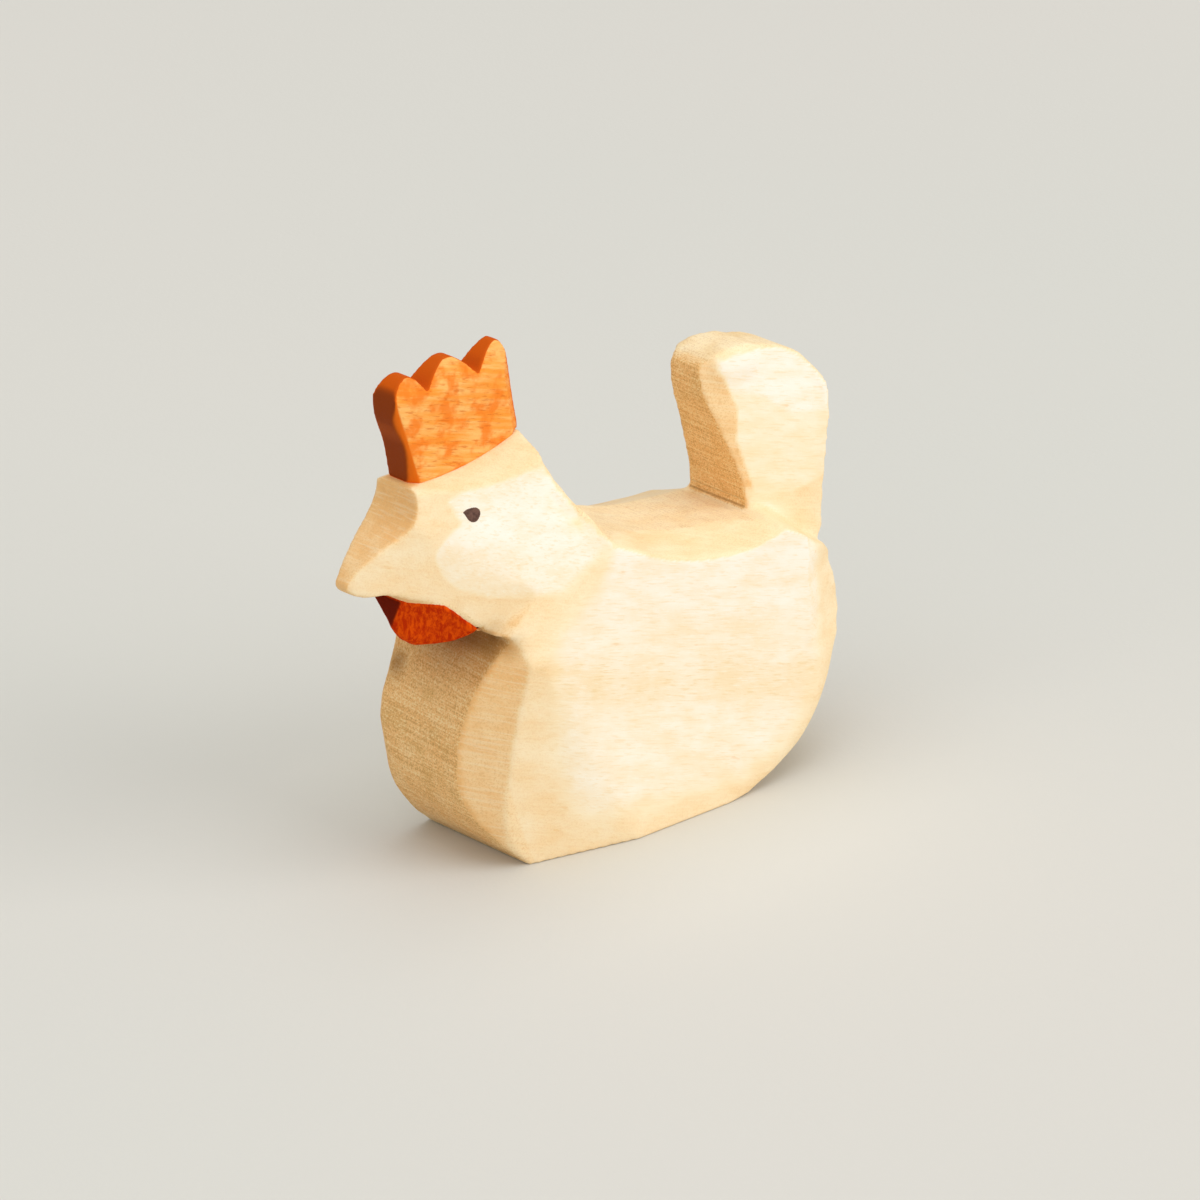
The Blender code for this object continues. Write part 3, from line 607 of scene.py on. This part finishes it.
def rooted(node, offset):
    """A stained zone's solid in its place and once more, moved into the block, so that no gap shows."""
    points, faces = node_shape(node)
    return [(points, faces), (points + offset, faces)]


def stained(start, place, colour, fibres, specular):
    """Closes a stained finish, which is matte, with its fibres raised by the water."""
    grit = place.noise((5.0, 5.0, 5.0), detail=2.0)
    surface(start, colour, 0.55 + 0.1 * grit, fibres * 0.4 + grit * 0.3, relief=0.07 * MM, specular=specular)


comb = sanded("stained_comb", rooted("comb", COMB_ROOT), COMB_VOXEL, COMB_PASSES)
ends = edge_ends(comb)
across = even_normals(comb, ends)
facing = nearest_facing(at_corners(comb, "co"), "comb")
notched = (np.abs(facing[:, 1]) < SQUARE_CUT) & (facing[:, 2] > 0.05)
store(comb, "ahead", np.clip(-across[:, 0], 0.0, 1.0))
store(comb, "aft", np.clip(across[:, 0], 0.0, 1.0) * (across[:, 2] < 0.3))
store(comb, "notched", rubbed(notched.astype(float), ends, 3))

comb_stain, start, place = new_finish("comb_stain")
ahead = start.attribute("ahead")
grain = place.turned("Y_AXIS", GRAIN_TILT)
fibres = grain.noise((0.5, 4.5, 4.5), detail=4.0, roughness=0.65)
streaks = grain.noise((0.12, 1.3, 1.3), detail=4.0, roughness=0.6)
blots = place.noise((0.38, 0.38, 0.44), detail=3.0, roughness=0.55)
side_colour = streaks.between(0.36, 0.64).tint(ORANGE, THIN_ORANGE)
side_colour = (blots.between(0.44, 0.64) * 0.85).tint(side_colour, BLOT_ORANGE)
side_colour = (fibres.between(0.53, 0.67) * 0.6).tint(side_colour, FIBRE_RED)
comb_colour = ahead.between(0.22, 0.55).tint(side_colour, EDGE_ORANGE)
comb_colour = start.attribute("notched").between(0.35, 0.65).tint(comb_colour, NOTCH_RED)
comb_colour = ahead.between(0.72, 0.97).tint(comb_colour, FRONT_BROWN)
comb_colour = start.attribute("aft").between(0.25, 0.7).tint(comb_colour, REAR_RED)
stained(start, place, comb_colour, fibres, specular=0.06)
comb.data.materials.append(comb_stain)
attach(comb, "root")
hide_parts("comb")


# The wattle. It is the lobe under the chin, part of the block too, with its own coat of a redder stain. The
# coat stands a little proud, and ends in a soft, frayed line on the cheek, past which its skin sinks into
# the block. The knife left the lobe a little fuller at its front.

STAIN_LINE = 6.5 * MM
STAIN_SLOPE = 1.1
STAIN_SPAN = 1.49
STAIN_PROUD = 0.06 * MM
STAIN_SINK = 0.6 * MM
LOBE_ROOT = (0.35 * MM, 0.0, 0.35 * MM)
LOBE_VOXEL = 0.2 * MM
LOBE_PASSES = 8
LOBE_PAPER_PASSES = 12
BULGE = 0.6 * MM
BULGE_PLACE = (-28.4, -1.7, 31.0)
BULGE_REACH = 1.8
WATTLE_RED = (0.50, 0.024, 0.001)
BRIGHT_RED = (0.80, 0.088, 0.002)
FRONT_RED = (0.15, 0.010, 0.002)
FRAYED_BROWN = (0.80, 0.42, 0.16)

wattle = sanded("stained_wattle", rooted("wattle", LOBE_ROOT), LOBE_VOXEL, LOBE_PASSES)
ends = edge_ends(wattle)
across = even_normals(wattle, ends)
spots = at_corners(wattle, "co")
spots = rubbed(spots, ends, LOBE_PAPER_PASSES, hangs_free(spots))
spots[:, 2] += lobe_lift(spots)
past_line = (spots[:, 2] + STAIN_SLOPE * spots[:, 0] - STAIN_LINE) / STAIN_SPAN / MM
bulge = BULGE * np.exp(-np.square((spots / MM - BULGE_PLACE) / BULGE_REACH).sum(axis=1))
sunk = STAIN_SINK * eased(past_line, 0.1, 1.0)
store(wattle, "ahead", np.clip(-across[:, 0], 0.0, 1.0))
store(wattle, "past_line", past_line)
set_corners(wattle, spots + across * (STAIN_PROUD + bulge - sunk)[:, None])

wattle_stain, start, place = new_finish("wattle_stain")
fibres = place.noise((2.2, 2.2, 0.5), detail=5.0, roughness=0.65, distortion=0.4)
side_colour = fibres.between(0.36, 0.66).tint(WATTLE_RED, BRIGHT_RED)
wattle_colour = start.attribute("ahead").between(0.80, 0.97).tint(side_colour, FRONT_RED)
frayed = (start.attribute("past_line") - 0.8 + (0.5 - fibres) * 0.9).between(-0.08, 0.16)
wattle_colour = frayed.tint(wattle_colour, FRAYED_BROWN)
stained(start, place, wattle_colour, fibres, specular=0.02)
wattle.data.materials.append(wattle_stain)
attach(wattle, "root")
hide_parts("wattle")


# The eyes. Each is a dark brown dot, burnt into the cheek with a small round tip, with a short stroke
# toward the beak. The burn leaves it a little uneven and matte.

EYE_VOXEL = 0.07 * MM
EYE_PASSES = 4
CHAR_BLACK = (0.07, 0.028, 0.018)
CHAR_BROWN = (0.16, 0.075, 0.05)

burnt_dot, start, place = new_finish("burnt_dot")
char = place.noise((2.5, 2.5, 2.5), detail=4.0, roughness=0.6)
dot_colour = char.between(0.3, 0.7).tint(CHAR_BLACK, CHAR_BROWN)
surface(start, dot_colour, 0.55 + 0.1 * char, char, relief=0.05 * MM, specular=0.3)
for node, name in (("eye_left", "burnt_eye_left"), ("eye_right", "burnt_eye_right")):
    dot = sanded(name, [node_shape(node)], EYE_VOXEL, EYE_PASSES)
    dot.data.materials.append(burnt_dot)
    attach(dot, "root")
    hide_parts(node)


# The table that the hen stands on for the picture: smooth, pale grey, matte paper, laid flat a hair below
# its sole, with a faint drift from a cooler to a warmer grey.

FLOOR_REACH = 3.0
FLOOR_DROP = 0.02 * MM
PAPER_COOL = (0.68, 0.675, 0.625)
PAPER_WARM = (0.70, 0.68, 0.63)

floor_corners = ((-1, -1), (1, -1), (1, 1), (-1, 1))
floor_points = [(FLOOR_REACH * wide, FLOOR_REACH * deep, 0) for wide, deep in floor_corners]
floor_mesh = bpy.data.meshes.new("paper_floor")
floor_mesh.from_pydata(floor_points, [], [(0, 1, 2, 3)])
floor = bpy.data.objects.new("paper_floor", floor_mesh)
floor.location.z = -FLOOR_DROP
bpy.context.scene.collection.objects.link(floor)
paper, start, place = new_finish("paper")
drift = place.noise((0.004, 0.004, 0.004), detail=2.0)
paper_colour = drift.between(0.3, 0.7).tint(PAPER_COOL, PAPER_WARM)
paper_fibres = place.noise((1.5, 1.5, 1.5))
surface(start, paper_colour, 0.9, paper_fibres, relief=0.02 * MM, specular=0.1)
floor_mesh.materials.append(paper)


# The light: a broad, low window on the hen's left, a weaker one ahead of it, and a bright ceiling, each a
# large soft panel at the same distance, in a pale room that fills the shadows.

LIT_PLACE = Vector((0.0, 0.0, 0.03))
WINDOW_DISTANCE = 4.0
ROOM_COLOUR = (1.0, 0.99, 0.97, 1.0)
ROOM_LIGHT = 0.37


def window(name, direction, size, power):
    lamp = bpy.data.lights.new(name, "AREA")
    lamp.shape = "SQUARE"
    lamp.size = size
    lamp.energy = power
    placed = bpy.data.objects.new(name, lamp)
    bpy.context.scene.collection.objects.link(placed)
    outward = Vector(direction).normalized()
    placed.location = LIT_PLACE + outward * WINDOW_DISTANCE
    placed.rotation_euler = outward.to_track_quat("Z", "Y").to_euler()


window("key_window", (0.55, -1.0, 0.50), size=3.6, power=93.0)
window("ceiling", (0.0, 0.0, 1.0), size=4.0, power=76.0)
window("front_window", (-1.0, -0.35, 0.9), size=3.6, power=42.0)
world = bpy.data.worlds.new("room")
bpy.context.scene.world = world
world.use_nodes = True
room = world.node_tree.nodes["Background"].inputs
room["Color"].default_value = ROOM_COLOUR
room["Strength"].default_value = ROOM_LIGHT


# The camera stands ahead of the hen's left side, far off, with a long lens. It is shifted a little to the
# right and down, which puts the hen where the photo has it.

AZIMUTH = math.radians(-43.0)
ELEVATION = math.radians(22.6)
DISTANCE = 764.7 * MM
LOOK = Vector((1.35, 0.0, 27.0)) * MM
SHIFT_RIGHT = 1.529 * MM
SHIFT_DOWN = 0.471 * MM

level = math.cos(ELEVATION)
back = Vector((math.sin(AZIMUTH) * level, -math.cos(AZIMUTH) * level, math.sin(ELEVATION)))
right = Vector((math.cos(AZIMUTH), math.sin(AZIMUTH), 0.0))
up = back.cross(right)
camera_data = bpy.data.cameras.new("photo_camera")
camera_data.lens = 195.0
camera_data.sensor_width = 36.0
camera_data.clip_start = 0.05
camera_data.clip_end = 10.0
camera = bpy.data.objects.new("photo_camera", camera_data)
bpy.context.scene.collection.objects.link(camera)
turn = Matrix((right, up, back)).transposed().to_4x4()
stand = LOOK + back * DISTANCE + right * SHIFT_RIGHT - up * SHIFT_DOWN
camera.matrix_world = Matrix.Translation(stand) @ turn
bpy.context.scene.camera = camera
bpy.context.scene.view_settings.view_transform = "Standard"
